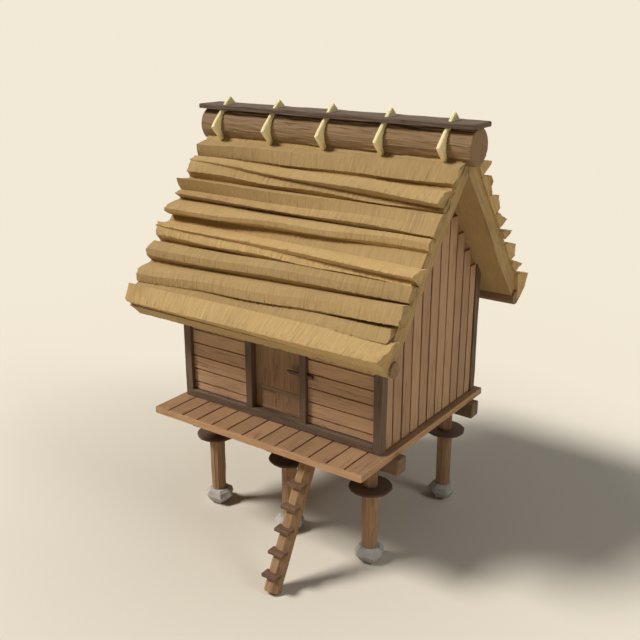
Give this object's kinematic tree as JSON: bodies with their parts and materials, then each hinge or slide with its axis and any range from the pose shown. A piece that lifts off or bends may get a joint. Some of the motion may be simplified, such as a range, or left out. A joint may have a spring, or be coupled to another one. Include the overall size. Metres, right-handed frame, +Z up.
{
  "type": "raised granary",
  "caption": "Raised timber granary on footed posts with rat guards, thatched gable roof, roped ridge log, hinged plank door with wooden bolt, and a log ladder.",
  "frame": {"origin": "centre of the bounding box at ground level, under the foot stones and the ladder", "axes": "+X to the right along the door side, +Y from the door side to the rear, +Z up"},
  "size_m": [4.652, 4.8282, 6.3093],
  "materials": {
    "stone": "rough stone",
    "guard_timber": "dark, worn",
    "thatch": "dry straw",
    "straw_rope": "twisted straw",
    "deck_boards": "worn, unfinished",
    "round_timber": "unfinished",
    "wall_boards": "sawn, unfinished",
    "door_wood": "sawn, unfinished",
    "tread_wood": "unfinished",
    "weathered_timber": "weathered",
    "frame_timber": "hewn, unfinished"
  },
  "bodies": {
    "granary": {"corner_post_front_left": "frame_timber", "corner_post_front_right": "frame_timber", "corner_post_rear_left": "frame_timber", "corner_post_rear_right": "frame_timber", "cross_bearers": "frame_timber", "deck_floor": "deck_boards", "door_lintel": "frame_timber", "door_post_left": "frame_timber", "door_post_right": "frame_timber", "eaves_poles": "weathered_timber", "floor_beams": "frame_timber", "foot_stone_front_left": "stone", "foot_stone_front_middle": "stone", "foot_stone_front_right": "stone", "foot_stone_rear_left": "stone", "foot_stone_rear_middle": "stone", "foot_stone_rear_right": "stone", "front_sill": "frame_timber", "front_wall_left": "wall_boards", "front_wall_right": "wall_boards", "gable_sills": "frame_timber", "gable_wall_left": "wall_boards", "gable_wall_right": "wall_boards", "ladder_pole": "round_timber", "ladder_treads": "tread_wood", "post_front_left": "round_timber", "post_front_middle": "round_timber", "post_front_right": "round_timber", "post_heads_front": "round_timber", "post_heads_rear": "round_timber", "post_rear_left": "round_timber", "post_rear_middle": "round_timber", "post_rear_right": "round_timber", "rat_guards_front": "guard_timber", "rat_guards_rear": "guard_timber", "rear_sill": "frame_timber", "rear_wall": "wall_boards", "ridge_cap": "weathered_timber", "ridge_log": "round_timber", "ridge_ties": "straw_rope", "thatch_front": "thatch", "thatch_rear": "thatch", "wall_plates": "frame_timber"},
    "door": {"door_leaf": "door_wood"},
    "bolt": {"door_bolt": "tread_wood"}
  },
  "joints": [
    {"name": "door_hinge", "type": "hinge", "parent": "granary", "child": "door", "pos_m": [-0.4575, -1.02888, 2.012], "axis": [0, 0, 1], "range_deg": [0, 95]},
    {"name": "bolt_slide", "type": "slide", "parent": "granary", "child": "bolt", "axis": [1, 0, 0], "range_m": [0, 0.24]}
  ]
}
